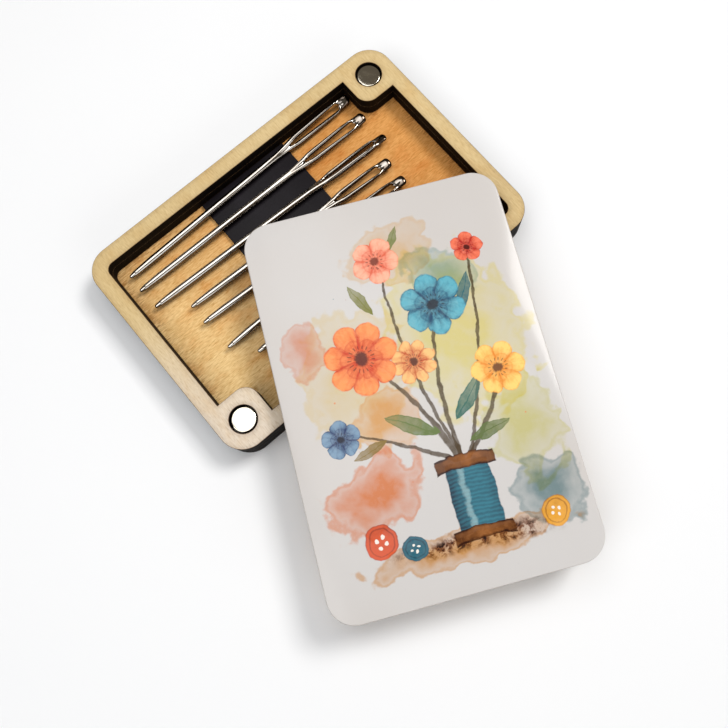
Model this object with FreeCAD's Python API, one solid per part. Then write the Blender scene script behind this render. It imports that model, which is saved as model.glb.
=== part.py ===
import FreeCAD, Part
import math
import os
from FreeCAD import Vector

# Needle case of laser-cut plywood with a loose magnetic lid. Millimetres, +Z up.
# The origin is the centre of the base's underside, X is its long axis.
# The lid is built closed and then swung out to where it lies in the stored pose.

# Needle lengths: the usual large-eye set, three needles of each
long_needle_length = 70.0
medium_needle_length = 60.0
short_needle_length = 52.0

# Pocket, cut through the two frames. The case's length follows from the long needles
rim_width = 4.0
pocket_corner_radius = 2.0
boss_reach = 12.8          # from the case's outer faces to the boss's inner faces
boss_nose_radius = 3.5
needle_point_gap = 2.7     # from the pocket's left wall to the long needles' points
needle_head_gap = 0.5      # from their heads to the right-hand boss

# Case outline, shared by the base and the lid
case_length = rim_width + needle_point_gap + long_needle_length + needle_head_gap + boss_reach
case_width = 60.0
corner_radius = 6.1

# Plywood layers of the base, bottom to top
floor_thickness = 3.0
lower_frame_thickness = 3.0
upper_frame_thickness = 3.0

# Disc magnets, one in each of two opposite corners of the base and of the lid
magnet_diameter = 6.0
magnet_thickness = 2.5
magnet_edge_round = 0.3
magnet_hole_gap = 0.3      # all round a magnet
magnet_inset = 6.6         # hole centre from both outer faces

# Flexible magnetic tape glued across the pocket's floor
tape_width = 25.4
tape_thickness = 0.8
tape_adhesive_thickness = 0.2
tape_offset = -1.2         # tape's middle along X
tape_end_gap = 0.3         # to the pocket's walls
adhesive_inset = 0.5       # the film's edges behind the tape's

# Lid layers and its seat
lid_backing_thickness = 3.0
lid_panel_thickness = 3.0
lid_panel_edge_round = 0.35
lid_seat_gap = 0.1

# Where the lid lies in the stored pose: turned about an upright axis
lid_turn = 64.1            # degrees
lid_pivot_end_inset = 12.3
lid_pivot_side_inset = 4.5

# Needle shape
shaft_diameter = 1.8
point_diameter = 0.7
point_cone_length = 2.0
point_cone_diameter = 1.15
point_taper_length = 9.0
eye_width = 3.2
eye_thickness = 1.5
eye_head_width = 2.6       # at the rounded end
head_thinning = 0.2        # share of the eye's thickness lost at the head
head_round_extra = 0.05    # the head's end arc beyond the head's half width
eye_blank_margin = 0.2     # how far the trimming block stands clear of the eye's sides
eye_section_count = 12     # even sections from neck to head
eye_slot_width = 1.7       # at its round end
eye_slot_tail_width = 0.5
eye_head_length = 2.7      # solid end beyond the slot
eye_neck_length = 4.0      # from the slot's tail to the round shaft
slot_share = 0.243         # of the needle's length
needle_rest_gap = 0.12     # under a shaft, above the tape

# Lines of points, from the long needles' line, and how far a point may stray from its line
long_point_setback = 0.0
medium_point_setback = 6.8
short_point_setback = 12.3
point_stray = 0.5

long_kind = (long_needle_length, long_point_setback)
medium_kind = (medium_needle_length, medium_point_setback)
short_kind = (short_needle_length, short_point_setback)

# Each needle: name, kind, stray as a share of point_stray, row as a share of the pocket's
# half width, turn about Z, roll about its own axis
needle_places = [
    ("long_needle_1", long_kind, 0.04, 0.846, 1.5, 38.0),
    ("long_needle_2", long_kind, -0.44, 0.680, -0.35, 6.0),
    ("long_needle_3", long_kind, 0.44, 0.467, -2.0, -42.0),
    ("medium_needle_1", medium_kind, -0.16, 0.248, -2.6, 4.0),
    ("medium_needle_2", medium_kind, -0.52, 0.056, -3.4, -5.0),
    ("medium_needle_3", medium_kind, 0.94, -0.269, 0.3, 20.0),
    ("short_needle_1", short_kind, -0.74, -0.477, -2.4, -12.0),
    ("short_needle_2", short_kind, 0.8, -0.669, -1.6, 8.0),
    ("short_needle_3", short_kind, 0.2, -0.869, -0.4, -25.0),
]

# Sizes that follow
half_length = case_length / 2
half_width = case_width / 2
lower_frame_z = floor_thickness
upper_frame_z = lower_frame_z + lower_frame_thickness
rim_z = upper_frame_z + upper_frame_thickness
lid_z = rim_z + lid_seat_gap
pocket_half_length = half_length - rim_width
pocket_half_width = half_width - rim_width
boss_x = half_length - boss_reach
boss_y = half_width - boss_reach
magnet_x = half_length - magnet_inset
magnet_y = half_width - magnet_inset
tape_z = floor_thickness + tape_adhesive_thickness
tape_top_z = tape_z + tape_thickness
needle_axis_z = tape_top_z + needle_rest_gap + shaft_diameter / 2
point_line_x = needle_point_gap - pocket_half_length
lid_pivot = Vector(half_length - lid_pivot_end_inset, lid_pivot_side_inset - half_width, 0)


def corner_points(before, corner, after, radius):
    """Start, middle and end of the arc that rounds a corner of an outline."""
    into = (before - corner).normalize()
    out = (after - corner).normalize()
    half_angle = into.getAngle(out) / 2
    reach = radius / math.tan(half_angle)
    bisector = (into + out).normalize()
    centre = corner + bisector * (radius / math.sin(half_angle))
    return corner + into * reach, centre - bisector * radius, corner + out * reach


def outline_face(corners, z):
    """Flat face inside an outline. Each corner is x, y and its rounding radius."""
    points = [Vector(x, y, z) for x, y, radius in corners]
    edges = []
    ends = []
    for index, (x, y, radius) in enumerate(corners):
        before = points[index - 1]
        after = points[(index + 1) % len(points)]
        if radius > 0:
            start, middle, end = corner_points(before, points[index], after, radius)
            edges.append(Part.Arc(start, middle, end).toShape())
            ends.append((start, end))
        else:
            ends.append((points[index], points[index]))
    for index in range(len(points)):
        start = ends[index - 1][1]
        end = ends[index][0]
        edges.append(Part.makeLine(start, end))
    return Part.Face(Part.Wire(Part.__sortEdges__(edges)))


def slab(corners, z, thickness):
    return outline_face(corners, z).extrude(Vector(0, 0, thickness))


def case_outline():
    return [
        (half_length, half_width, corner_radius),
        (-half_length, half_width, corner_radius),
        (-half_length, -half_width, corner_radius),
        (half_length, -half_width, corner_radius),
    ]


def pocket_outline():
    nose = boss_nose_radius
    corner = pocket_corner_radius
    return [
        (pocket_half_length, -pocket_half_width, corner),
        (pocket_half_length, boss_y, 0),
        (boss_x, boss_y, nose),
        (boss_x, pocket_half_width, 0),
        (-pocket_half_length, pocket_half_width, corner),
        (-pocket_half_length, -boss_y, 0),
        (-boss_x, -boss_y, nose),
        (-boss_x, -pocket_half_width, 0),
    ]


def magnet_holes(z, depth):
    radius = magnet_diameter / 2 + magnet_hole_gap
    rear = Part.makeCylinder(radius, depth, Vector(magnet_x, magnet_y, z))
    front = Part.makeCylinder(radius, depth, Vector(-magnet_x, -magnet_y, z))
    return rear.fuse(front)


def floor_board():
    return slab(case_outline(), 0, floor_thickness)


def frame_layer(z, thickness):
    pocket = slab(pocket_outline(), z, thickness)
    return slab(case_outline(), z, thickness).cut(pocket)


def upper_frame():
    frame = frame_layer(upper_frame_z, upper_frame_thickness)
    return frame.cut(magnet_holes(upper_frame_z, upper_frame_thickness))


def magnet(x, y, z):
    disc = Part.makeCylinder(magnet_diameter / 2, magnet_thickness, Vector(x, y, z))
    rims = [edge for edge in disc.Edges if len(edge.Vertexes) == 1 and edge.Curve.TypeId == "Part::GeomCircle"]
    return disc.makeFillet(magnet_edge_round, rims)


def tape_slab(z, thickness, inset):
    length = tape_width - 2 * inset
    width = 2 * (pocket_half_width - tape_end_gap - inset)
    corner = Vector(tape_offset - length / 2, -width / 2, z)
    return Part.makeBox(length, width, thickness, corner)


def swing_out(shape):
    """Carries a lid piece from its closed place to the stored pose."""
    turned = shape.copy()
    turned.rotate(lid_pivot, Vector(0, 0, 1), lid_turn)
    return turned


def lid_backing():
    board = slab(case_outline(), lid_z, lid_backing_thickness)
    return board.cut(magnet_holes(lid_z, lid_backing_thickness))


def lid_panel():
    base_z = lid_z + lid_backing_thickness
    top_z = base_z + lid_panel_thickness
    panel = slab(case_outline(), base_z, lid_panel_thickness)
    top_edges = [edge for edge in panel.Edges if edge.BoundBox.ZMin > top_z - lid_panel_edge_round]
    return panel.makeFillet(lid_panel_edge_round, top_edges)


def needle_shaft(length):
    """Round shaft with a blunt point at the origin, along +X."""
    tip = point_diameter / 2
    cone = point_cone_diameter / 2
    full = shaft_diameter / 2
    start = Vector(0, 0, 0)
    tip_top = Vector(tip, tip, 0)
    tip_mid = Vector(tip - tip * math.cos(math.pi / 4), tip * math.sin(math.pi / 4), 0)
    profile = [
        Part.Arc(start, tip_mid, tip_top).toShape(),
        Part.makeLine(tip_top, Vector(point_cone_length, cone, 0)),
        Part.makeLine(Vector(point_cone_length, cone, 0), Vector(point_taper_length, full, 0)),
        Part.makeLine(Vector(point_taper_length, full, 0), Vector(length, full, 0)),
        Part.makeLine(Vector(length, full, 0), Vector(length, 0, 0)),
        Part.makeLine(Vector(length, 0, 0), start),
    ]
    face = Part.Face(Part.Wire(profile))
    return face.revolve(start, Vector(1, 0, 0), 360)


def ease(share):
    """Smooth step from 0 to 1."""
    held = min(max(share, 0.0), 1.0)
    return held * held * (3 - 2 * held)


def oval_wire(x, half_wide, half_thick):
    """Oval section across the needle at x, wide along Y, as a left and a right half."""
    oval = Part.Ellipse(Vector(x, half_wide, 0), Vector(x, 0, half_thick), Vector(x, 0, 0))
    quarter = math.pi / 2
    return Part.Wire([oval.toShape(-quarter, quarter), oval.toShape(quarter, 3 * quarter)])


def eye_blank(start, slot):
    """Flattened eye end before its slot is cut, from the shaft to the rounded head."""
    wide = eye_width / 2
    head = eye_head_width / 2
    thick = eye_thickness / 2
    full = shaft_diameter / 2
    zone = eye_neck_length + slot + eye_head_length
    spread = 2 * eye_neck_length
    narrowing = 2 * eye_head_length
    wires = []
    for step in range(eye_section_count + 1):
        along = zone * step / eye_section_count
        growth = ease(along / spread)
        shrink = ease((along - zone + head + narrowing) / narrowing)
        half_wide = full + (wide - full) * growth - (wide - head) * shrink
        half_thick = full - (full - thick) * growth - thick * head_thinning * shrink
        wires.append(oval_wire(start + along, half_wide, half_thick))
    blank = Part.makeLoft(wires, True, False)
    radius = head + head_round_extra
    side = wide + eye_blank_margin
    keep = Part.makeBox(zone - radius, 2 * side, 2 * shaft_diameter, Vector(start, -side, -shaft_diameter))
    rounding = Part.makeCylinder(radius, 2 * shaft_diameter, Vector(start + zone - radius, 0, -shaft_diameter))
    return blank.common(keep.fuse(rounding))


def eye_slot_cutter(tail_x, head_x):
    """Tapered slot: a small round tail, a larger round end, and tangent sides."""
    tail = eye_slot_tail_width / 2
    end = eye_slot_width / 2
    tail_centre = tail_x + tail
    end_centre = head_x - end
    lean = math.asin((end - tail) / (end_centre - tail_centre))
    z = -eye_thickness
    tail_top = Vector(tail_centre - tail * math.sin(lean), tail * math.cos(lean), z)
    end_top = Vector(end_centre - end * math.sin(lean), end * math.cos(lean), z)
    tail_low = Vector(tail_top.x, -tail_top.y, z)
    end_low = Vector(end_top.x, -end_top.y, z)
    edges = [
        Part.makeLine(tail_top, end_top),
        Part.Arc(end_top, Vector(head_x, 0, z), end_low).toShape(),
        Part.makeLine(end_low, tail_low),
        Part.Arc(tail_low, Vector(tail_x, 0, z), tail_top).toShape(),
    ]
    return Part.Face(Part.Wire(edges)).extrude(Vector(0, 0, 2 * eye_thickness))


def needle(length, x, y, turn, roll):
    slot = slot_share * length
    zone = eye_neck_length + slot + eye_head_length
    eye_start = length - zone
    body = needle_shaft(eye_start).fuse(eye_blank(eye_start, slot))
    head_x = length - eye_head_length
    body = body.cut(eye_slot_cutter(head_x - slot, head_x))
    body.rotate(Vector(0, 0, 0), Vector(1, 0, 0), roll)
    body.rotate(Vector(0, 0, 0), Vector(0, 0, 1), turn)
    body.translate(Vector(x, y, needle_axis_z))
    return body


def all_parts():
    parts = {
        "base_floor": floor_board(),
        "lower_frame": frame_layer(lower_frame_z, lower_frame_thickness),
        "upper_frame": upper_frame(),
        "base_magnet_rear": magnet(magnet_x, magnet_y, upper_frame_z),
        "base_magnet_front": magnet(-magnet_x, -magnet_y, upper_frame_z),
        "tape_adhesive": tape_slab(floor_thickness, tape_adhesive_thickness, adhesive_inset),
        "magnetic_tape": tape_slab(tape_z, tape_thickness, 0),
        "lid_backing": swing_out(lid_backing()),
        "lid_panel": swing_out(lid_panel()),
    }
    lid_magnet_z = lid_z + lid_backing_thickness - magnet_thickness
    parts["lid_magnet_rear"] = swing_out(magnet(magnet_x, magnet_y, lid_magnet_z))
    parts["lid_magnet_front"] = swing_out(magnet(-magnet_x, -magnet_y, lid_magnet_z))
    for name, kind, stray, row, turn, roll in needle_places:
        length, setback = kind
        point_x = point_line_x + setback + stray * point_stray
        parts[name] = needle(length, point_x, row * pocket_half_width, turn, roll)
    return parts


os.makedirs("parts", exist_ok=True)
for name, shape in all_parts().items():
    solid = shape.removeSplitter()
    solid.exportStep("parts/" + name + ".step")
    box = solid.BoundBox
    print(name, "solids", len(solid.Solids), "valid", solid.isValid(), "volume", round(solid.Volume, 2),
          "z", round(box.ZMin, 2), round(box.ZMax, 2))
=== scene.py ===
import math

import bmesh
import bpy
from mathutils import Euler, Matrix, Vector


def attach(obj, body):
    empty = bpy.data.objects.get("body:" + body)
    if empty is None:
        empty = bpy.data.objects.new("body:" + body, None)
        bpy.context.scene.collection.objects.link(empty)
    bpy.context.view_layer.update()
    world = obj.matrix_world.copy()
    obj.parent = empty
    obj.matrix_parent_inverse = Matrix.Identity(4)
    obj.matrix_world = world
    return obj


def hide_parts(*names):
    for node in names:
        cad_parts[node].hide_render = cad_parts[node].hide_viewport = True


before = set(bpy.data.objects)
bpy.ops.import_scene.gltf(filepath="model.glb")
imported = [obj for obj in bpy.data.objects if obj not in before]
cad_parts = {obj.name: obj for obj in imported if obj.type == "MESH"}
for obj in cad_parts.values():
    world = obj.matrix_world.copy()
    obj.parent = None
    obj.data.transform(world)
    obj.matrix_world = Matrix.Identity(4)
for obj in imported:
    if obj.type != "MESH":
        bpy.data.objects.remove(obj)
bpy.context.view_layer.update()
mm = 0.001
print("frame loaded:", len(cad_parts), "nodes")


# Shader values: plain Python sums on them add Math nodes

class Value:
    def __init__(self, paint, socket):
        self.paint = paint
        self.socket = socket

    def __add__(self, other): return self.paint.maths("ADD", self, other)
    def __radd__(self, other): return self.paint.maths("ADD", other, self)
    def __sub__(self, other): return self.paint.maths("SUBTRACT", self, other)
    def __rsub__(self, other): return self.paint.maths("SUBTRACT", other, self)
    def __mul__(self, other): return self.paint.maths("MULTIPLY", self, other)
    def __rmul__(self, other): return self.paint.maths("MULTIPLY", other, self)
    def __truediv__(self, other): return self.paint.maths("DIVIDE", self, other)
    def __rtruediv__(self, other): return self.paint.maths("DIVIDE", other, self)
    def __pow__(self, other): return self.paint.maths("POWER", self, other)
    def __neg__(self): return self.paint.maths("MULTIPLY", self, -1.0)
    def __abs__(self): return self.paint.maths("ABSOLUTE", self)
    def __gt__(self, other): return self.paint.maths("GREATER_THAN", self, other)
    def __lt__(self, other): return self.paint.maths("LESS_THAN", self, other)

    def clamp(self): return self.paint.maths("ADD", self, 0.0, clamp=True)
    def sin(self): return self.paint.maths("SINE", self)
    def cos(self): return self.paint.maths("COSINE", self)
    def root(self): return self.paint.maths("SQRT", self)
    def atMost(self, other): return self.paint.maths("MINIMUM", self, other)
    def atLeast(self, other): return self.paint.maths("MAXIMUM", self, other)

    def rise(self, low, high):  # 0 below low, 1 above high, smooth between
        settings = {"interpolation_type": "SMOOTHSTEP"}
        return self.paint.node("ShaderNodeMapRange", settings, {0: self, 1: low, 2: high, 3: 0.0, 4: 1.0})

    def fall(self, low, high):
        return 1 - self.rise(low, high)


class Paint:
    def __init__(self, name):
        self.material = bpy.data.materials.new(name)
        self.material.use_nodes = True
        self.tree = self.material.node_tree
        self.shader = self.tree.nodes["Principled BSDF"]

    def node(self, kind, settings=None, values=None, output=0):
        made = self.tree.nodes.new(kind)
        for key, setting in (settings or {}).items():
            if key == "stops":
                for stop, (spot, colour) in enumerate(setting):
                    element = made.color_ramp.elements[stop] if stop < 2 else made.color_ramp.elements.new(spot)
                    element.position = spot
                    element.color = colour
            else:
                setattr(made, key, setting)
        for key, value in (values or {}).items():
            self.feed(made.inputs[key], value)
        return Value(self, made.outputs[output])

    def feed(self, socket, value):
        if isinstance(value, Value):
            self.tree.links.new(value.socket, socket)
        else:
            socket.default_value = value

    def maths(self, operation, *values, clamp=False):
        return self.node("ShaderNodeMath", {"operation": operation, "use_clamp": clamp}, dict(enumerate(values)))

    def mix(self, share, first, second, blend="MIX"):
        settings = {"data_type": "RGBA", "blend_type": blend}
        return self.node("ShaderNodeMix", settings, {0: share, 6: first, 7: second}, output=2)

    def place(self, turned=False):  # x, y and z in mm; a lid's are those of the closed case
        spot = self.node("ShaderNodeTexCoord", output="Object")
        x, y, z = [part * 1000 for part in self.split(spot)]
        if turned:
            c, s = math.cos(math.radians(lidPose["turn"])), math.sin(math.radians(lidPose["turn"]))
            px, py = lidPose["pivot"]
            x, y = (x - px) * c + (y - py) * s + px, (y - py) * c - (x - px) * s + py
        return x, y, z

    def split(self, vector):
        first = self.node("ShaderNodeSeparateXYZ", None, {0: vector})
        outlets = first.socket.node.outputs
        return [first, Value(self, outlets[1]), Value(self, outlets[2])]

    def point(self, x=0.0, y=0.0, z=0.0):
        return self.node("ShaderNodeCombineXYZ", None, {0: x, 1: y, 2: z})

    def up(self):  # how far a surface faces up, from -1 to 1
        return self.split(self.node("ShaderNodeTexCoord", output="Normal"))[2]

    def noise(self, where, scale=1.0, detail=2.0, rough=0.5, warp=0.0):
        values = {"Vector": where, "Scale": scale, "Detail": detail, "Roughness": rough, "Distortion": warp}
        return self.node("ShaderNodeTexNoise", None, values)

    def cells(self, where, scale=1.0, feature="F1", output="Distance"):
        return self.node("ShaderNodeTexVoronoi", {"feature": feature}, {"Vector": where, "Scale": scale}, output)

    def bump(self, height, depth, strength=1.0):  # height 0 to 1, depth in mm
        values = {"Strength": strength, "Distance": depth * mm, "Height": height}
        made = self.node("ShaderNodeBump", None, values)
        self.feed(self.shader.inputs["Normal"], made)

    def finish(self, **values):
        for name, value in values.items():
            self.feed(self.shader.inputs[name.replace("_", " ")], value)
        return self.material


def ink(red, green, blue):  # 0 to 255 as seen, to a shader colour
    seen = [part / 255 for part in (red, green, blue)]
    return tuple(part / 12.92 if part < 0.04045 else ((part + 0.055) / 1.055) ** 2.4 for part in seen) + (1.0,)


# Sizes of the case in mm, as the solids have them

case = {
    "length": 90.0,
    "width": 60.0,
    "corner": 6.1,
    "rim": 4.0,
    "pocketCorner": 2.0,
    "boss": 12.8,
    "bossNose": 3.5,
    "layer": 3.0,
    "magnetInset": 6.6,
    "magnetHole": 3.3,
    "cutEdge": 0.1,
}
lidPose = {"turn": 64.1, "pivot": (32.7, -25.5), "bottom": 9.1, "inset": 0.03}


# Flat board pieces from outlines

def roundedLoop(corners, steps=14):
    points = []
    for index, (x, y, radius) in enumerate(corners):
        here = Vector((x, y))
        if radius == 0:
            points.append(here)
            continue
        back = (Vector(corners[index - 1][:2]) - here).normalized()
        ahead = (Vector(corners[(index + 1) % len(corners)][:2]) - here).normalized()
        half = back.angle(ahead) / 2
        middle = here + (back + ahead).normalized() * radius / math.sin(half)
        spoke = here + back * radius / math.tan(half) - middle
        end = here + ahead * radius / math.tan(half) - middle
        turn = math.atan2(spoke.x * end.y - spoke.y * end.x, spoke.dot(end))
        for step in range(steps + 1):
            points.append(middle + Matrix.Rotation(turn * step / steps, 2) @ spoke)
    return points


def circleLoop(x, y, radius, steps=64):
    spots = [2 * math.pi * step / steps for step in range(steps)]
    return [Vector((x + radius * math.cos(a), y + radius * math.sin(a))) for a in spots]


def caseLoop(inset=0.0):
    x, y, corner = case["length"] / 2 - inset, case["width"] / 2 - inset, case["corner"] - inset
    return roundedLoop([(x, y, corner), (-x, y, corner), (-x, -y, corner), (x, -y, corner)])


def pocketLoop():
    x, y = case["length"] / 2 - case["rim"], case["width"] / 2 - case["rim"]
    bx, by = case["length"] / 2 - case["boss"], case["width"] / 2 - case["boss"]
    corner, nose = case["pocketCorner"], case["bossNose"]
    return roundedLoop([(x, -y, corner), (x, by, 0), (bx, by, nose), (bx, y, 0),
                        (-x, y, corner), (-x, -by, 0), (-bx, -by, nose), (-bx, -y, 0)])


def magnetSpots():
    x, y = case["length"] / 2 - case["magnetInset"], case["width"] / 2 - case["magnetInset"]
    return [(x, y), (-x, -y)]


def swung(mesh):  # a lid piece, from its closed place to where it lies
    pivot = Matrix.Translation((lidPose["pivot"][0] * mm, lidPose["pivot"][1] * mm, 0))
    mesh.transform(pivot @ Matrix.Rotation(math.radians(lidPose["turn"]), 4, "Z") @ pivot.inverted())


def shaded(mesh, angle=40):
    for face in mesh.polygons:
        face.use_smooth = True
    mesh.set_sharp_from_angle(angle=math.radians(angle))


def addPiece(name, mesh, material, body, slot, *nodes):
    piece = bpy.data.objects.new(name, mesh)
    bpy.context.scene.collection.objects.link(piece)
    mesh.materials.clear()
    mesh.materials.append(material)
    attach(piece, body)
    if nodes:
        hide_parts(*nodes)
    return piece


def board(name, loops, low, high, edge):  # outer loop first, then its holes
    curve = bpy.data.curves.new(name, "CURVE")
    curve.dimensions = "2D"
    curve.fill_mode = "BOTH"
    curve.extrude = ((high - low) / 2 - edge) * mm
    curve.bevel_depth = edge * mm
    curve.bevel_resolution = 3
    curve.offset = -edge * mm
    for loop in loops:
        line = curve.splines.new("POLY")
        line.points.add(len(loop) - 1)
        for point, spot in zip(line.points, loop):
            point.co = (spot.x * mm, spot.y * mm, 0, 1)
        line.use_cyclic_u = True
    maker = bpy.data.objects.new(name, curve)
    bpy.context.scene.collection.objects.link(maker)
    bpy.context.view_layer.update()
    mesh = bpy.data.meshes.new_from_object(maker.evaluated_get(bpy.context.evaluated_depsgraph_get()))
    bpy.data.objects.remove(maker)
    mesh.transform(Matrix.Translation((0, 0, (low + high) / 2 * mm)))
    sides = bmesh.new()
    sides.from_mesh(mesh)
    bmesh.ops.remove_doubles(sides, verts=sides.verts, dist=1e-7)
    bmesh.ops.recalc_face_normals(sides, faces=sides.faces)
    sides.to_mesh(mesh)
    sides.free()
    shaded(mesh)
    return mesh


def lathe(name, profile, x, y, steps=96):  # profile of (radius, height) from the top middle to the bottom middle
    made = bmesh.new()
    rings = []
    for radius, height in profile:
        count = 1 if radius == 0 else steps
        spots = [2 * math.pi * step / steps for step in range(count)]
        rings.append([made.verts.new(((x + radius * math.cos(a)) * mm, (y + radius * math.sin(a)) * mm, height * mm)) for a in spots])
    for upper, lower in zip(rings, rings[1:]):
        for step in range(steps):
            after = (step + 1) % steps
            if len(upper) == 1:
                made.faces.new((upper[0], lower[step], lower[after]))
            elif len(lower) == 1:
                made.faces.new((upper[step], lower[0], upper[after]))
            else:
                made.faces.new((upper[step], lower[step], lower[after], upper[after]))
    mesh = bpy.data.meshes.new(name)
    bmesh.ops.recalc_face_normals(made, faces=made.faces)
    made.to_mesh(mesh)
    made.free()
    shaded(mesh, 60)
    return mesh


# Shader shapes: signed distances in mm, negative inside

def boxDistance(x, y, halfX, halfY, corner):
    qx = abs(x) - (halfX - corner)
    qy = abs(y) - (halfY - corner)
    outside = (qx.atLeast(0.0) ** 2 + qy.atLeast(0.0) ** 2).root()
    return outside + qx.atLeast(qy).atMost(0.0) - corner


def outlineDistance(x, y):
    return boxDistance(x, y, case["length"] / 2, case["width"] / 2, case["corner"])


def pocketDistance(x, y):
    rim, boss = case["rim"], case["boss"]
    halfX, halfY = case["length"] / 2, case["width"] / 2
    whole = boxDistance(x, y, halfX - rim, halfY - rim, case["pocketCorner"])
    far = 2 * boss
    rear = boxDistance(x - (halfX - boss + far), y - (halfY - boss + far), far, far, case["bossNose"])
    front = boxDistance(x + (halfX - boss + far), y + (halfY - boss + far), far, far, case["bossNose"])
    return whole.atLeast(-rear).atLeast(-front)


def magnetDistance(x, y):
    (ax, ay), (bx, by) = magnetSpots()
    rear = ((x - ax) ** 2 + (y - ay) ** 2).root()
    front = ((x - bx) ** 2 + (y - by) ** 2).root()
    return rear.atMost(front)


# Plywood: birch veneer with laser-burnt edges

plyLook = {
    "rim": {"along": "y", "pale": ink(229, 216, 200), "deep": ink(209, 191, 167), "line": ink(168, 134, 96),
            "blotch": ink(242, 224, 194), "warm": 0.5, "bands": 0.35, "strokes": 0.8, "farTone": ink(245, 231, 188),
            "paleCentre": (-45, -30, 4, 46)},
    "floor": {"along": "x", "pale": ink(243, 209, 150), "deep": ink(212, 167, 100), "line": ink(146, 94, 44),
              "blotch": ink(238, 200, 150), "warm": 0.6, "bands": 0.4, "strokes": 1.0, "farTone": ink(240, 204, 168),
              "paleCentre": (-75, -40, 45, 125)},
    "lid": {"along": "y", "pale": ink(228, 203, 158), "deep": ink(200, 166, 114), "line": ink(164, 122, 76),
            "blotch": ink(238, 214, 178), "warm": 0.5, "bands": 0.5, "strokes": 0.5, "farTone": ink(249, 240, 226),
            "paleCentre": (-45, -30, 4, 46)},
    "char": ink(11, 8, 7),
    "charStreak": ink(34, 22, 14),
    "smoke": ink(88, 52, 24),
    "burntLine": 0.16,
    "grainDepth": 0.03,
}


def plywood(name, kind, turned=False, pocket=False, holes=False, scorch=False):
    look = plyLook[kind]
    paint = Paint(name)
    x, y, z = paint.place(turned)
    along, across = (x, y) if look["along"] == "x" else (y, x)
    # veneer: broad drift and blotches, then short strokes, pores and flecks along the grain
    drift = paint.noise(paint.point(along * 0.03, across * 0.06, z * 0.1), 1.0, 3.0, 0.55)
    bands = paint.noise(paint.point(along * 0.05, across * 0.4, z * 0.4), 1.0, 3.0, 0.6, 0.5)
    strokes = paint.noise(paint.point(along * 0.6, across * 3.2, z * 2.0), 1.0, 2.0, 0.6, 0.15)
    pores = paint.noise(paint.point(along * 0.9, across * 7.5, z * 2.0), 1.0, 2.0, 0.6)
    mottle = paint.noise(paint.point(along * 0.10, across * 0.2, z * 0.1), 1.0, 4.0, 0.6, 0.2)
    centreX, centreY, fadeFrom, fadeTo = look["paleCentre"]  # the colour is paler round this place and darker further off
    farShare = ((x - centreX) ** 2 + (y - centreY) ** 2).root().rise(fadeFrom, fadeTo)
    tone = (bands * look["bands"] + drift * 0.5 + (strokes - 0.5) * look["strokes"] + 0.5 - look["bands"] * 0.5 - 0.25).rise(0.2, 0.8)
    colour = paint.mix(tone, look["pale"], look["deep"])
    colour = paint.mix(mottle.rise(0.46, 0.74) * look["warm"], colour, look["blotch"], "MULTIPLY")
    colour = paint.mix(farShare, colour, look["farTone"], "MULTIPLY")
    poreMask = pores.rise(0.60, 0.72)
    colour = paint.mix(poreMask * 0.22, colour, look["line"])
    colour = paint.mix(strokes.rise(0.58, 0.72) * 0.22, colour, look["line"])
    # burnt edges
    ragged = paint.noise(paint.point(x, y, z), 1.6, 2.0, 0.6) - 0.5
    edge = -outlineDistance(x, y)
    if pocket:
        edge = edge.atMost(pocketDistance(x, y))
    if holes:
        edge = edge.atMost(magnetDistance(x, y) - case["magnetHole"])
    burnt = (edge + ragged * 0.12).fall(plyLook["burntLine"] * 0.35, plyLook["burntLine"])
    halo = (edge + ragged * 0.9).fall(0.1, 1.3)
    colour = paint.mix(halo * 0.16, colour, plyLook["smoke"])
    colour = paint.mix(burnt * 0.75, colour, plyLook["smoke"])
    if scorch:  # smoke from the cut pocket lies on the board under it
        wall = -pocketDistance(x, y)
        soot = (wall + ragged * 3.0).fall(0.0, 2.4) * (strokes * 0.5 + mottle * 0.5).rise(0.44, 0.58)
        colour = paint.mix(soot * 0.42, colour, ink(122, 80, 42))
        # a thin dark line along the foot of the pocket wall, where it meets the board
        colour = paint.mix((wall + ragged * 0.3).fall(0.0, 0.2) * 0.4, colour, plyLook["char"])
    # cut sides: char with upright streaks and the veneers' joints
    girth = paint.point(x, y, z * 0.05)
    streaks = paint.noise(girth, 2.6, 3.0, 0.6)
    layer = paint.maths("FRACT", z / 3.0 + 0.001)
    veneers = abs(layer - 0.5).rise(0.14, 0.19) * 0.35
    sideTone = (streaks.rise(0.45, 0.8) * 0.5 + veneers * streaks).clamp()
    side = paint.mix(sideTone, plyLook["char"], plyLook["charStreak"])
    sideMask = abs(paint.up()).fall(0.35, 0.8)
    height = (1 - poreMask) * 0.4 + strokes * 0.5 + sideMask * (streaks * 1.2 + veneers)
    paint.bump(height, plyLook["grainDepth"])
    return paint.finish(
        Base_Color=paint.mix(sideMask, colour, side),
        Roughness=0.46 + tone * 0.08 + poreMask * 0.15 + sideMask * 0.18,
        Specular_IOR_Level=0.07,
    )


materials = {
    "rim": plywood("birch_rim", "rim", pocket=True, holes=True),
    "lowerRim": plywood("birch_lower_rim", "rim", pocket=True),
    "floor": plywood("birch_floor", "floor", scorch=True),
    "backing": plywood("birch_backing", "lid", turned=True, holes=True),
}
print("plywood materials made")

x, layer, cut = 0, case["layer"], case["cutEdge"]
holes = [circleLoop(*spot, case["magnetHole"]) for spot in magnetSpots()]
addPiece("pocket_floor_board", board("pocket_floor_board", [caseLoop()], 0, layer, cut),
         materials["floor"], "base", "plywood", "base_floor")
addPiece("lower_pocket_frame", board("lower_pocket_frame", [caseLoop(), pocketLoop()], layer, 2 * layer, 0.05),
         materials["lowerRim"], "base", "plywood", "lower_frame")
addPiece("rim_frame", board("rim_frame", [caseLoop(), pocketLoop()] + holes, 2 * layer, 3 * layer, cut),
         materials["rim"], "base", "plywood", "upper_frame")
backing = board("lid_backing_board", [caseLoop(lidPose["inset"])] + holes, lidPose["bottom"], lidPose["bottom"] + layer, 0.08)
swung(backing)
addPiece("lid_backing_board", backing, materials["backing"], "lid", "plywood", "lid_backing")
print("plywood boards made")


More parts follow.
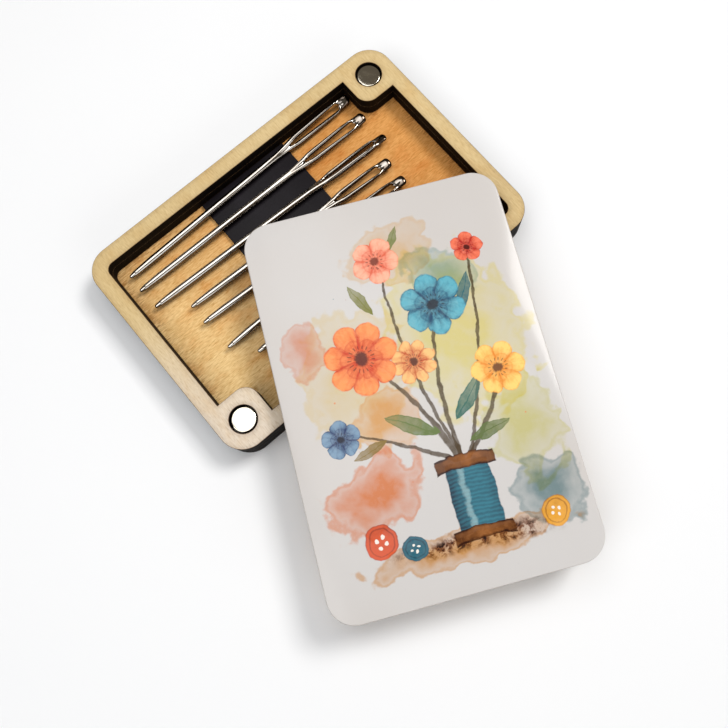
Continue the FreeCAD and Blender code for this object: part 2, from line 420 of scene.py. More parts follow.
# Magnetic tape: satin black vinyl face with a faint pebble

tapeLook = {
    "width": 25.4,
    "middle": -1.2,
    "bottom": 3.2,
    "top": 4.0,
    "endGap": 0.3,
    "edge": 0.08,
    "face": ink(20, 16, 20),
    "scuff": ink(38, 33, 40),
    "cutSide": ink(16, 13, 14),
    "gloss": 0.26,
}


def tapeFinish():
    paint = Paint("black_vinyl_tape")
    x, y, z = paint.place()
    where = paint.point(x, y, z)
    cloud = paint.noise(paint.point(x * 0.12, y * 0.05, z), 1.0, 4.0, 0.6)
    pebble = paint.noise(where, 5.5, 3.0, 0.65)
    lines = paint.noise(paint.point(x * 0.25, y * 9.0, z), 1.0, 2.0, 0.5)
    dust = paint.cells(where, 1.3).fall(0.03, 0.07) * paint.noise(where, 0.8).rise(0.55, 0.65)
    colour = paint.mix(cloud.rise(0.45, 0.75) * 0.35 + dust * 0.25, tapeLook["face"], tapeLook["scuff"])
    side = abs(paint.up()).fall(0.4, 0.8)
    paint.bump(pebble * 0.7 + cloud * 0.6 + lines * 0.12, 0.012)
    return paint.finish(
        Base_Color=paint.mix(side, colour, tapeLook["cutSide"]),
        Roughness=tapeLook["gloss"] + cloud * 0.12 + pebble * 0.06 + side * 0.35,
        Specular_IOR_Level=0.14,
    )


tapeHalf = case["width"] / 2 - case["rim"] - tapeLook["endGap"]
left, right = tapeLook["middle"] - tapeLook["width"] / 2, tapeLook["middle"] + tapeLook["width"] / 2
tapeCorners = [(right, tapeHalf, 0.25), (left, tapeHalf, 0.25), (left, -tapeHalf, 0.25), (right, -tapeHalf, 0.25)]
tapeMesh = board("tape_strip", [roundedLoop(tapeCorners, 4)], tapeLook["bottom"], tapeLook["top"], tapeLook["edge"])
addPiece("tape_strip", tapeMesh, tapeFinish(), "base", "tape", "magnetic_tape")


def glueFinish():
    paint = Paint("clear_glue_film")
    x, y, z = paint.place()
    patches = paint.noise(paint.point(x, y, z), 0.5, 3.0, 0.6)
    paint.bump(patches, 0.02)
    return paint.finish(Base_Color=paint.mix(patches, ink(196, 188, 166), ink(150, 140, 118)),
                        Roughness=0.25 + patches * 0.2)


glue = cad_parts["tape_adhesive"]
glue.data.materials.clear()
glue.data.materials.append(glueFinish())
print("tape made")


# Disc magnets: nickel plate over a pressed disc

magnetLook = {
    "radius": 3.0,
    "thick": 2.5,
    "edge": 0.35,
    "plate": ink(214, 207, 192),
    "smudge": ink(200, 190, 168),
    "gloss": 0.08,
}


def magnetFinish():
    paint = Paint("nickel_disc")
    x, y, z = paint.place()
    where = paint.point(x, y, z)
    smudge = paint.noise(where, 0.5, 3.0, 0.55, 0.8)
    speck = paint.noise(where, 9.0, 2.0, 0.6)
    scratch = paint.noise(paint.point(x * 0.6, y * 14, z), 1.0, 2.0, 0.6).rise(0.62, 0.7)
    paint.bump(speck * 0.15 + smudge, 0.006)
    return paint.finish(
        Base_Color=paint.mix(smudge.rise(0.4, 0.7) * 0.6 + scratch * 0.1, magnetLook["plate"], magnetLook["smudge"]),
        Metallic=1.0,
        Roughness=magnetLook["gloss"] + smudge.rise(0.45, 0.75) * 0.08 + scratch * 0.06,
    )


def magnetDisc(name, x, y, low):
    radius, edge, top = magnetLook["radius"], magnetLook["edge"], low + magnetLook["thick"]
    profile = [(0, top), (radius * 0.5, top), (radius - edge, top)]
    quarter = [math.pi / 2 * step / 8 for step in range(1, 9)]
    profile += [(radius - edge + edge * math.sin(a), top - edge + edge * math.cos(a)) for a in quarter]
    profile += [(radius - edge + edge * math.cos(a), low + edge - edge * math.sin(a)) for a in [0] + quarter]
    profile.append((0, low))
    return lathe(name, profile, x, y)


nickelDisc = magnetFinish()
for spot, end in zip(magnetSpots(), ("rear", "front")):
    addPiece("case_magnet_" + end, magnetDisc("case_magnet_" + end, *spot, 2 * layer),
             nickelDisc, "base", "magnet", "base_magnet_" + end)
    mesh = magnetDisc("lid_disc_" + end, *spot, lidPose["bottom"] + layer - magnetLook["thick"])
    swung(mesh)
    addPiece("lid_disc_" + end, mesh, nickelDisc, "lid", "magnet", "lid_magnet_" + end)
print("magnets made")


# Needles: large-eye needles, each one mesh from point to head

needleLook = {
    "shaft": 0.9,
    "tip": 0.5,
    "cone": (1.6, 0.70),
    "taper": 6.0,
    "eyeHalf": 1.6,
    "eyeThick": 0.75,
    "headHalf": 1.38,
    "headBow": 1.15,
    "headSquare": 2.7,
    "headThin": 0.2,
    "headLength": 2.7,
    "neck": 4.0,
    "slotShare": 0.243,
    "slotHead": 0.85,
    "slotTail": 0.25,
    "gutter": 0.34,
    "gutterLength": 7.0,
    "quarter": 8,
    "axisHeight": 5.02,
    "gutterWide": (0.42, 0.62),
    "gutterPast": 1.9,
    "steel": ink(212, 207, 200),
    "tint": ink(178, 166, 152),
    # the colour below is the painted reflection of the wood on the needle's sides, head and rails; the two shares after
    # it set how much of it the head and rails get
    "paintedReflection": ink(78, 60, 46),
    "headPaintedReflection": 0.92,
    "railPaintedReflection": 0.4,
    "gloss": 0.09,
}
pointLine = -38.3
needleRack = {
    "long_needle_1": {"length": 70.0, "point": (pointLine + 0.02, 21.996), "turn": 1.5, "roll": 30.0},
    "long_needle_2": {"length": 70.0, "point": (pointLine - 0.22, 17.68), "turn": -0.35, "roll": 6.0},
    "long_needle_3": {"length": 70.0, "point": (pointLine + 0.22, 12.142), "turn": -2.0, "roll": -30.0},
    "medium_needle_1": {"length": 60.0, "point": (pointLine + 6.72, 6.448), "turn": -2.6, "roll": 4.0},
    "medium_needle_2": {"length": 60.0, "point": (pointLine + 6.54, 1.456), "turn": -3.4, "roll": -5.0},
    "medium_needle_3": {"length": 60.0, "point": (pointLine + 7.27, -6.994), "turn": 0.3, "roll": 20.0},
    "short_needle_1": {"length": 52.0, "point": (pointLine + 11.93, -12.402), "turn": -2.4, "roll": -12.0},
    "short_needle_2": {"length": 52.0, "point": (pointLine + 12.7, -17.394), "turn": -1.6, "roll": 8.0},
    "short_needle_3": {"length": 52.0, "point": (pointLine + 12.4, -22.594), "turn": -0.4, "roll": -25.0},
}


def ease(share):
    held = min(max(share, 0.0), 1.0)
    return held * held * (3 - 2 * held)


def spread(start, end, count, crowd="both"):  # spots from start to end, closer together at the crowded ends
    shares = [step / count for step in range(count + 1)]
    if crowd == "both":
        shares = [(1 - math.cos(math.pi * share)) / 2 for share in shares]
    elif crowd == "start":
        shares = [1 - math.cos(math.pi / 2 * share) for share in shares]
    return [start + (end - start) * share for share in shares]


class NeedleShape:
    def __init__(self, length):
        look = needleLook
        self.length = length
        self.slot = look["slotShare"] * length
        self.slotEnd = length - look["headLength"]
        self.slotStart = self.slotEnd - self.slot
        self.eyeStart = self.slotStart - look["neck"]
        self.zone = length - self.eyeStart

    def sizes(self, x):  # half width and half thickness at x
        look = needleLook
        shaft, tip = look["shaft"], look["tip"]
        coneEnd, coneHalf = look["cone"]
        if x <= self.eyeStart:
            if x < tip:
                half = math.sqrt(max(tip * tip - (tip - x) ** 2, 0))
            elif x < coneEnd:
                half = tip + (coneHalf - tip) * (x - tip) / (coneEnd - tip)
            elif x < look["taper"]:
                half = coneHalf + (shaft - coneHalf) * (x - coneEnd) / (look["taper"] - coneEnd)
            else:
                half = shaft
            return half, half
        along = x - self.eyeStart
        growth = ease(along / (2 * look["neck"]))
        shrink = ease((along - self.zone + look["headHalf"] + 2 * look["headLength"]) / (2 * look["headLength"]))
        wide = shaft + (look["eyeHalf"] - shaft) * growth - (look["eyeHalf"] - look["headHalf"]) * shrink
        thick = shaft - (shaft - look["eyeThick"]) * growth - look["eyeThick"] * look["headThin"] * shrink
        past = (x - self.length) / look["headBow"] + 1
        if past > 0:  # blunt rounded end
            arc = max(1 - min(past, 1) ** look["headSquare"], 0) ** (1 / look["headSquare"])
            wide *= arc
            thick *= arc ** 0.7
        return wide, thick

    def gap(self, x):  # half width of the slot at x
        look = needleLook
        tail, head = look["slotTail"], look["slotHead"]
        if x <= self.slotStart or x >= self.slotEnd:
            return 0.0
        tailMiddle, headMiddle = self.slotStart + tail, self.slotEnd - head
        if x < tailMiddle:
            return math.sqrt(max(tail ** 2 - (tailMiddle - x) ** 2, 0))
        if x > headMiddle:
            return math.sqrt(max(head ** 2 - (x - headMiddle) ** 2, 0))
        return tail + (head - tail) * (x - tailMiddle) / (headMiddle - tailMiddle)

    def parted(self, x):  # 0 where the section is one oval, 1 where it is two round rails
        return min(ease((x - self.slotStart) / 2.6), ease((self.slotEnd - x) / 1.3))

    def groove(self, x):
        look = needleLook
        rising = ease((x - self.slotStart + look["gutterLength"]) / look["gutterLength"])
        falling = ease((self.slotEnd + look["gutterPast"] - x) / look["gutterPast"])
        return look["gutter"] * rising * falling

    def grooveWidth(self, x):
        narrow, wide = needleLook["gutterWide"]
        return narrow + (wide - narrow) * ease((x - self.slotEnd + 3) / 3)

    def paintedEyeReflectionAt(self, x, y, z):  # painted reflection of the wood, from 0 bright to 1 brown: the head except its dip, and less so the eye's rails
        head = ease((x - self.slotEnd + 0.5) / 1.0)
        rail = ease((x - self.slotStart) / 3) * (1 - head)
        dip = math.exp(-(y / 0.6) ** 2) * ease((self.length - 0.7 - x) / 0.6) if z > 0 else 0
        return head * needleLook["headPaintedReflection"] * (1 - 0.6 * dip) + rail * needleLook["railPaintedReflection"]

    def outer(self, x, side):  # half a section from top to bottom, on the side 1 or -1
        wide, thick = self.sizes(x)
        gap, parted, groove = self.gap(x), self.parted(x), self.groove(x)
        middle, reach = (wide + gap) / 2, (wide - gap) / 2
        gutter = self.grooveWidth(x)
        count = 2 * needleLook["quarter"]
        points = []
        for step in range(count + 1):
            angle = math.pi / 2 - math.pi * step / count
            c, s = math.cos(angle), math.sin(angle)
            y, z = wide * c, thick * s
            dent = groove * math.exp(-(y / gutter) ** 2) * (abs(s) ** 2)
            z -= math.copysign(dent, s) if abs(s) > 1e-6 else 0
            y += (middle + reach * c - y) * parted
            z += (thick * 0.98 * s - z) * parted
            points.append((x, side * y, z))
        return points

    def inner(self, x, side):  # the rail's inside wall between bottom and top
        wide, thick = self.sizes(x)
        gap, parted, groove = self.gap(x), self.parted(x), self.groove(x)
        middle, reach = (wide + gap) / 2, (wide - gap) / 2
        count = 2 * needleLook["quarter"]
        points = []
        for step in range(1, count):
            angle = -math.pi / 2 - math.pi * step / count
            c, s = math.cos(angle), math.sin(angle)
            flatTop = thick - groove
            y = gap * (1 - parted) * -c + (middle + reach * c) * parted
            z = flatTop * s + (thick * 0.98 * s - flatTop * s) * parted
            points.append((x, side * y, z))
        return points


def needleMesh(name, length):
    shape = NeedleShape(length)
    tip = needleLook["tip"]
    coneEnd, taper = needleLook["cone"][0], needleLook["taper"]
    before = spread(0, tip, 6, "start")[1:] + spread(tip, coneEnd, 4, "even")[1:] + spread(coneEnd, taper, 10, "even")[1:]
    before += spread(taper, shape.eyeStart, 10, "even")[1:]
    before += spread(shape.eyeStart, shape.slotStart, 16, "even")[1:-1]
    slotSpots = spread(shape.slotStart, shape.slotStart + 0.3, 6, "start")
    slotSpots += spread(slotSpots[-1], shape.slotEnd - needleLook["slotHead"], 44, "even")[1:]
    slotSpots += [shape.slotStart + shape.slotEnd - x for x in reversed(spread(shape.slotStart, shape.slotStart + needleLook["slotHead"], 12, "start"))][1:]
    after = [shape.slotEnd + shape.length - x for x in reversed(spread(shape.slotEnd, shape.length, 22, "start"))][1:-1]
    made = bmesh.new()

    def verts(points):
        return [made.verts.new([part * mm for part in point]) for point in points]

    def ring(x):
        right, left = shape.outer(x, 1), shape.outer(x, -1)
        front = verts(right)
        back = [front[0]] + verts(left[1:-1]) + [front[-1]]
        return front, back

    def strip(first, second):
        for step in range(len(first) - 1):
            made.faces.new((first[step], second[step], second[step + 1], first[step + 1]))

    def strips(first, second):
        strip(first[0], second[0])
        strip(second[1], first[1])

    rings = [ring(x) for x in before]
    point = verts([(0, 0, 0)])[0]
    for half, flip in zip(rings[0], (False, True)):
        for step in range(len(half) - 1):
            made.faces.new((point, half[step + 1], half[step]) if flip else (point, half[step], half[step + 1]))
    start = ring(slotSpots[0])
    rings.append(start)
    for first, second in zip(rings, rings[1:]):
        strips(first, second)
    end = ring(slotSpots[-1])
    startWall = verts(shape.inner(slotSpots[0], 1))
    endWall = verts(shape.inner(slotSpots[-1], 1))
    for side in (0, 1):
        sign = 1 if side == 0 else -1
        loops = [start[side] + startWall]
        for x in slotSpots[1:-1]:
            loops.append(verts(shape.outer(x, sign) + shape.inner(x, sign)))
        loops.append(end[side] + endWall)
        for first, second in zip(loops, loops[1:]):
            for step in range(len(first)):
                following = (step + 1) % len(first)
                face = (first[step], second[step], second[following], first[following])
                made.faces.new(face if side == 0 else tuple(reversed(face)))
    tail = [end] + [ring(x) for x in after]
    for first, second in zip(tail, tail[1:]):
        strips(first, second)
    last = verts([(shape.length, 0, 0)])[0]
    for half, flip in zip(tail[-1], (True, False)):
        for step in range(len(half) - 1):
            made.faces.new((last, half[step + 1], half[step]) if flip else (last, half[step], half[step + 1]))
    bmesh.ops.recalc_face_normals(made, faces=made.faces)
    mesh = bpy.data.meshes.new(name)
    made.to_mesh(mesh)
    made.free()
    for face in mesh.polygons:
        face.use_smooth = True
    # the painted reflection on the eye and head, kept on the mesh points for the finish to read
    paintedEyeReflection = mesh.attributes.new("paintedEyeReflection", "FLOAT", "POINT")
    paintedEyeReflection.data.foreach_set("value", [shape.paintedEyeReflectionAt(*(vert.co / mm)) for vert in mesh.vertices])
    return mesh


def needleFinish():
    paint = Paint("polished_nickel_needle")
    x, y, z = paint.place()
    # reads the painted reflection on the eye and head from the mesh points
    paintedEyeReflection = paint.node("ShaderNodeAttribute", {"attribute_name": "paintedEyeReflection"}, output=2)
    drawn = paint.noise(paint.point(x * 0.25, y * 9, z * 9), 1.0, 2.0, 0.5)
    cloud = paint.noise(paint.point(x * 0.2, y * 1.2, z * 1.2), 1.0, 2.0, 0.5)
    pits = paint.noise(paint.point(x * 4, y * 6, z * 6), 1.0, 2.0, 0.6).rise(0.68, 0.78)
    plate = paint.mix(cloud.rise(0.35, 0.75) * 0.7 + pits * 0.2, needleLook["steel"], needleLook["tint"])
    paintedReflection = paint.up().fall(0.18, 0.72) * (0.75 + cloud * 0.3) + paintedEyeReflection  # painted reflection: darker brown round the sides, where the steel would mirror the wood, and on the eye and head
    paint.bump(drawn * 0.12 + cloud - pits * 0.1, 0.006)
    return paint.finish(
        Base_Color=paint.mix(paintedReflection.clamp(), plate, needleLook["paintedReflection"]),
        Metallic=1.0,
        Roughness=needleLook["gloss"] + drawn * 0.06 + pits * 0.10,
    )


nickelNeedle = needleFinish()
for name, rack in needleRack.items():
    mesh = needleMesh(name + "_polished", rack["length"])
    px, py = rack["point"]
    place = Matrix.Translation((px * mm, py * mm, needleLook["axisHeight"] * mm))
    turn = Matrix.Rotation(math.radians(rack["turn"]), 4, "Z") @ Matrix.Rotation(math.radians(rack["roll"]), 4, "X")
    mesh.transform(place @ turn)
    addPiece(name + "_polished", mesh, nickelNeedle, name, "needle", name)
print("needles made:", len(needleRack))


# Printed lid panel: gloss white coat on hardboard, with a watercolour of blossoms over a thread spool

printLook = {
    "coat": ink(206, 202, 199),
    "coatWarm": ink(202, 195, 189),
    "hardboard": ink(176, 138, 94),
    "hardboardDark": ink(112, 78, 46),
    "speck": ink(150, 140, 130),
    "gloss": 0.17,
    "edge": 0.3,
}
# places in mm on the closed lid, across from the middle and up from the middle
washes = [
    {"at": (12, 10), "size": (16, 22), "lean": 10, "ink": ink(255, 244, 160), "strength": 0.95},
    {"at": (-12, 6), "size": (13, 17), "lean": -20, "ink": ink(255, 234, 176), "strength": 0.85},
    {"at": (20, -13), "size": (9, 13), "lean": 5, "ink": ink(236, 232, 150), "strength": 0.85},
    {"at": (-14, -20), "size": (12, 9), "lean": 25, "ink": ink(252, 150, 88), "strength": 0.95},
    {"at": (22, -28), "size": (8, 9), "lean": 20, "ink": ink(112, 152, 160), "strength": 0.85},
    {"at": (2, -35), "size": (25, 4), "lean": 2, "ink": ink(236, 172, 92), "strength": 0.95},
    {"at": (2, 31), "size": (11, 8), "lean": 0, "ink": ink(252, 210, 150), "strength": 0.75},
    {"at": (-8, -5), "size": (9, 7), "lean": 40, "ink": ink(255, 190, 104), "strength": 0.8},
    {"at": (12, 24), "size": (9, 6), "lean": -30, "ink": ink(140, 190, 196), "strength": 0.7},
    {"at": (-22, 14), "size": (5, 8), "lean": 10, "ink": ink(250, 150, 96), "strength": 0.7},
]
stems = [  # from foot to top: across = foot + lean * rise + bow * rise * (1 - rise), rise from 0 to 1
    {"foot": (5.2, -18), "top": (-9, 8), "bow": 7, "wide": 0.55},
    {"foot": (5.6, -18), "top": (8, 16), "bow": -6, "wide": 0.6},
    {"foot": (6.0, -18), "top": (-1, 29), "bow": -9, "wide": 0.45},
    {"foot": (6.6, -18), "top": (19, 0), "bow": 6, "wide": 0.5},
    {"foot": (4.8, -18), "top": (-18, -6), "bow": 6, "wide": 0.4},
    {"foot": (7.0, -18), "top": (19, 27), "bow": 10, "wide": 0.4},
]
leaves = [
    {"at": (-3, -8), "size": (6.5, 1.9), "lean": 150, "ink": ink(98, 116, 62)},
    {"at": (10.5, -5), "size": (6, 1.8), "lean": 48, "ink": ink(58, 104, 92)},
    {"at": (-7, 22), "size": (4.6, 1.3), "lean": 118, "ink": ink(120, 120, 52)},
    {"at": (16, 18), "size": (5, 1.5), "lean": 66, "ink": ink(44, 98, 108)},
    {"at": (-13, -11), "size": (4.2, 1.2), "lean": 196, "ink": ink(132, 108, 50)},
    {"at": (13, -13), "size": (5.4, 1.6), "lean": 14, "ink": ink(94, 110, 60)},
    {"at": (3.5, 34), "size": (3.4, 1.0), "lean": 60, "ink": ink(110, 122, 64)},
]
blossoms = [
    {"at": (-10, 9), "size": 8.6, "petals": 7, "lean": 10, "pale": ink(250, 150, 84), "deep": ink(202, 58, 26), "heart": ink(74, 26, 20)},
    {"at": (8.5, 17), "size": 7.4, "petals": 6, "lean": 35, "pale": ink(92, 172, 190), "deep": ink(18, 66, 98), "heart": ink(28, 24, 34)},
    {"at": (-1.5, 30), "size": 5.6, "petals": 5, "lean": 60, "pale": ink(252, 178, 148), "deep": ink(218, 92, 62), "heart": ink(112, 44, 26)},
    {"at": (18.5, -0.5), "size": 6.2, "petals": 6, "lean": 0, "pale": ink(252, 206, 110), "deep": ink(226, 130, 30), "heart": ink(92, 46, 16)},
    {"at": (-18.5, -7), "size": 4.4, "petals": 5, "lean": 20, "pale": ink(120, 150, 176), "deep": ink(30, 48, 92), "heart": ink(22, 20, 34)},
    {"at": (19.5, 28), "size": 3.8, "petals": 5, "lean": 80, "pale": ink(240, 120, 88), "deep": ink(176, 34, 30), "heart": ink(60, 20, 18)},
    {"at": (1.0, 5.5), "size": 5.2, "petals": 8, "lean": 15, "pale": ink(248, 190, 120), "deep": ink(190, 80, 40), "heart": ink(70, 30, 20)},
]
buttons = [
    {"at": (-15.5, -30), "size": 3.6, "lean": 20, "ink": ink(214, 84, 44), "dark": ink(120, 34, 18)},
    {"at": (-9.0, -33), "size": 2.8, "lean": 55, "ink": ink(40, 104, 122), "dark": ink(14, 46, 66)},
    {"at": (21.5, -33), "size": 3.1, "lean": 70, "ink": ink(232, 164, 56), "dark": ink(140, 78, 18)},
]
spool = {"at": (6, -25.5), "size": (6.6, 7.6), "rim": 1.5, "wood": ink(150, 92, 46), "woodDark": ink(52, 24, 14),
         "thread": ink(44, 118, 136), "threadDark": ink(12, 48, 68)}


class Sheet:  # the paper, which each shape is painted onto in turn
    def __init__(self, paint, across, up, colour):
        self.paint = paint
        self.colour = colour
        self.bleed = 0.5
        self.plain = paint.point(across, up)
        wobble = paint.node("ShaderNodeTexNoise", None, {"Vector": self.plain, "Scale": 0.32, "Detail": 3.0}, output=1)
        moved = paint.node("ShaderNodeVectorMath", {"operation": "SUBTRACT"}, {0: wobble, 1: (0.5, 0.5, 0.5)})
        values = {0: moved, 1: (3.4, 3.4, 0.0), 2: self.plain}
        self.wet = paint.node("ShaderNodeVectorMath", {"operation": "MULTIPLY_ADD"}, values)
        values = {0: moved, 1: (1.3, 1.3, 0.0), 2: self.plain}
        self.damp = paint.node("ShaderNodeVectorMath", {"operation": "MULTIPLY_ADD"}, values)
        self.pigment = paint.noise(self.plain, 0.55, 5.0, 0.65, 0.4)
        self.flow = paint.noise(self.plain, 0.17, 2.0, 0.45, 0.5)
        self.grain = paint.noise(self.plain, 3.2, 3.0, 0.7)

    def bled(self, ground):  # paint runs a little further where the paper under it is already wet
        values = {0: self.colour, 1: (self.bleed, self.bleed, 0.0), 2: ground}
        return self.paint.node("ShaderNodeVectorMath", {"operation": "MULTIPLY_ADD"}, values)

    def local(self, spot, size, lean, ground):
        values = {"Vector": self.bled(ground), "Location": (*spot, 0.0), "Rotation": (0.0, 0.0, math.radians(lean)),
                  "Scale": (*size, 1.0)}
        return self.paint.node("ShaderNodeMapping", {"vector_type": "TEXTURE"}, values)

    def parts(self, vector):
        return self.paint.split(vector)[:2]

    def length(self, vector):
        return self.paint.node("ShaderNodeVectorMath", {"operation": "LENGTH"}, {0: vector}, output=1)

    def wash(self, mask, pigment):
        self.colour = self.paint.mix(mask, self.colour, pigment, "MULTIPLY")

    def cover(self, mask, pigment):
        self.colour = self.paint.mix(mask, self.colour, pigment)

    def addWash(self, look):
        away = self.length(self.local(look["at"], look["size"], look["lean"], self.wet))
        away = away + (self.flow - 0.5) * 1.1 + (self.pigment - 0.5) * 0.16
        body = away.fall(0.84, 0.98) * 0.35 + away.fall(0.1, 0.95) * 0.65 + away.rise(0.72, 0.86) * away.fall(0.88, 0.95) * 0.3
        self.wash((body * (0.7 + self.pigment * 0.6)).clamp() * look["strength"], look["ink"])

    def addStem(self, look):
        across, up = self.parts(self.bled(self.damp))
        (fx, fy), (tx, ty) = look["foot"], look["top"]
        share = (up - fy) / (ty - fy)
        line = fx + share * (tx - fx) + share * (1 - share) * look["bow"]
        slope = abs(tx - fx) / (ty - fy) + 1
        thick = (look["wide"] - share * look["wide"] * 0.4) * slope
        mask = (abs(across - line) / thick).fall(0.6, 1.1) * share.rise(0.0, 0.02) * share.fall(0.97, 1.0)
        self.cover(mask * (0.6 + self.pigment * 0.5), ink(70, 52, 26))

    def addLeaf(self, look):
        x, y = self.parts(self.local(look["at"], look["size"], look["lean"], self.damp))
        edge = 1 - x * x - abs(y)
        vein = abs(y + (self.grain - 0.5) * 0.1).fall(0.03, 0.10) * 0.35
        tone = (0.55 + self.pigment * 0.55 - x * 0.2 + edge.fall(0.08, 0.22) * 0.2 + vein * 0.6).clamp()
        self.cover(edge.rise(0.0, 0.12) * tone, look["ink"])

    def petals(self, away, angle, count, turn, reach, depth):
        lobes = abs((angle * (count / 2) + turn).cos()) ** 0.6
        edge = lobes * depth + (reach - depth) - away
        return edge, lobes

    def addBlossom(self, look):
        local = self.local(look["at"], (look["size"], look["size"]), look["lean"], self.damp)
        x, y = self.parts(local)
        away = self.length(local)
        angle = self.paint.maths("ARCTAN2", y, x)
        edge, lobes = self.petals(away, angle, look["petals"], 0.0, 1.0, 0.26)
        folds = lobes.fall(0.15, 0.75) * away.rise(0.2, 0.45) * 0.55
        streak = self.paint.noise(self.paint.point(angle * 3.2, away * 0.9, 0.0), 1.6, 3.0, 0.6)
        tone = (folds + edge.fall(0.03, 0.10) * 0.4 + away.fall(0.2, 0.85) * 0.7
                + (streak - 0.48) * 1.3 + (self.pigment - 0.5) * 1.1).clamp()
        body = edge.rise(0.0, 0.05) * (0.82 + self.pigment * 0.3)
        self.cover(body.clamp(), self.paint.mix(tone, look["pale"], look["deep"]))
        inner, folded = self.petals(away, angle, look["petals"] - 1, 0.9, 0.58, 0.15)
        ring = inner.rise(0.0, 0.04) * (inner.fall(0.03, 0.11) * 0.5 + folded.fall(0.1, 0.5) * 0.3 + (streak - 0.4) * 0.5)
        self.cover(ring.clamp() * 0.8, look["deep"])
        heart = (away + (self.grain - 0.5) * 0.16).fall(0.13, 0.22)
        self.cover(heart * 0.9, look["heart"])
        stamens = (angle * (look["petals"] * 2.5)).cos().rise(0.55, 0.85) * away.rise(0.24, 0.27) * away.fall(0.33, 0.37)
        self.cover(stamens * 0.7, look["heart"])

    def addButton(self, look):
        local = self.local(look["at"], (look["size"], look["size"]), look["lean"], self.damp)
        x, y = self.parts(local)
        away = self.length(local)
        disc = away.fall(0.95, 1.02)
        rim = away.rise(0.68, 0.74) * away.fall(0.76, 0.82) + away.rise(0.9, 0.98)
        tone = (rim * 0.55 + (self.pigment - 0.45) * 0.9 + (x + y) * 0.14).clamp()
        self.cover(disc * 0.92, self.paint.mix(tone, look["ink"], look["dark"]))
        hx, hy = abs(x) - 0.22, abs(y) - 0.22
        self.cover((hx * hx + hy * hy).fall(0.008, 0.018) * disc, ink(240, 232, 222))

    def addSpool(self, look):
        x, y = self.parts(self.bled(self.damp))
        x, y = x - look["at"][0], y - look["at"][1]
        halfX, halfY, rim = *look["size"], look["rim"]
        sag = x * x * (0.7 / halfX ** 2)  # ends of the spool seen a little from above
        body = (abs(x) - (halfX - 1.5) + abs(y) * 0.06).fall(-0.15, 0.15) * abs(y + sag).fall(halfY - 0.3, halfY)
        winds = ((y + sag * 0.8) * 7.4 + self.grain * 1.4).sin() * 0.5 + 0.5
        round_ = abs(x - 0.8) / halfX
        tone = (winds * 0.4 + round_ * round_ * 0.9 + (self.pigment - 0.5) * 0.8).clamp()
        self.cover(body * 0.95, self.paint.mix(tone, look["thread"], look["threadDark"]))
        sheen = abs(x + 1.7 + (self.pigment - 0.5) * 2).fall(0.2, 1.0) * body
        self.cover(sheen * 0.35, ink(196, 226, 226))
        for side in (1, -1):
            band = abs(y + sag - side * halfY)
            plank = band.fall(rim * 0.9, rim) * abs(x).fall(halfX - 0.25, halfX)
            wood = (abs(x - 0.5) / halfX * 0.6 + (self.pigment - 0.45) * 1.1 + band.rise(rim * 0.5, rim * 0.95) * 0.7).clamp()
            self.cover(plank * 0.96, self.paint.mix(wood, look["wood"], look["woodDark"]))

    def addGround(self):
        across, up = self.parts(self.bled(self.wet))
        lower = abs(up + 34.4 + across * 0.02).fall(0.3, 2.4) * abs(across - 4).fall(9, 21)
        self.cover(lower * self.pigment.rise(0.42, 0.52) * 0.85, ink(100, 46, 16))
        self.cover(lower * self.pigment.rise(0.53, 0.60) * 0.9, ink(22, 18, 22))
        self.cover(lower * self.grain.rise(0.55, 0.65) * 0.4, ink(20, 26, 36))

    def addDrops(self):
        scatter = self.paint.cells(self.plain, 0.33)
        tint = self.paint.cells(self.plain, 0.33, output="Color")
        which = self.paint.node("ShaderNodeSeparateColor", None, {0: tint})
        size = which * 0.11 - 0.045
        middle = self.length(self.local((0, -2), (27, 41), 0, self.wet))
        mask = (scatter - size).fall(0.0, 0.02) * middle.fall(0.8, 1.0) * middle.rise(0.35, 0.6)
        warm = self.paint.node("ShaderNodeSeparateColor", None, {0: tint}, output=1)
        drop = self.paint.mix(warm.rise(0.4, 0.6), ink(226, 120, 60), ink(70, 120, 134))
        self.cover(mask * 0.65, drop)


def printFinish():
    paint = Paint("printed_gloss_panel")
    x, y, z = paint.place(turned=True)
    where = paint.point(x, y, z)
    tint = paint.noise(where, 0.03, 2.0)
    sheet = Sheet(paint, -y, x, paint.mix(tint.rise(0.35, 0.65) * 0.6, printLook["coat"], printLook["coatWarm"]))
    for look in washes:
        sheet.addWash(look)
    sheet.addDrops()
    sheet.addGround()
    for look in stems:
        sheet.addStem(look)
    for look in leaves:
        sheet.addLeaf(look)
    sheet.addSpool(spool)
    for look in buttons:
        sheet.addButton(look)
    for look in reversed(blossoms):
        sheet.addBlossom(look)
    dust = paint.cells(where, 0.55).fall(0.02, 0.05) * paint.noise(where, 0.4).rise(0.5, 0.6)
    colour = paint.mix(dust * 0.35, sheet.colour, printLook["speck"])
    side = abs(paint.up()).fall(0.25, 0.6)
    fibre = paint.noise(paint.point(x * 1.2, y * 1.2, z * 7), 1.0, 3.0, 0.65)
    board = paint.mix(fibre, printLook["hardboard"], printLook["hardboardDark"])
    colour = paint.mix(side, colour, board)
    colour = paint.mix((-paint.up()).rise(0.5, 0.8), colour, printLook["hardboardDark"])
    wave = paint.noise(where, 0.09, 2.0)
    paint.bump(wave * 0.8 + fibre * side * 0.4, 0.02)
    return paint.finish(Base_Color=colour, Roughness=printLook["gloss"] + side * 0.4, Coat_Weight=(1 - side) * 0.06,
                        Specular_IOR_Level=0.2)


panelLow = lidPose["bottom"] + layer
panel = board("printed_lid_panel", [caseLoop(lidPose["inset"])], panelLow, panelLow + layer, printLook["edge"])
swung(panel)
addPiece("printed_lid_panel", panel, printFinish(), "lid", "printed_board", "lid_panel")
print("lid panel made")


# Table, lights and camera

tableLook = {"size": 3.0, "colour": ink(243, 243, 243), "haze": ink(240, 240, 241)}


def tableFinish():
    paint = Paint("white_table")
    x, y, z = paint.place()
    haze = paint.noise(paint.point(x, y, z), 0.01, 2.0)
    return paint.finish(Base_Color=paint.mix(haze, tableLook["colour"], tableLook["haze"]), Roughness=0.75)


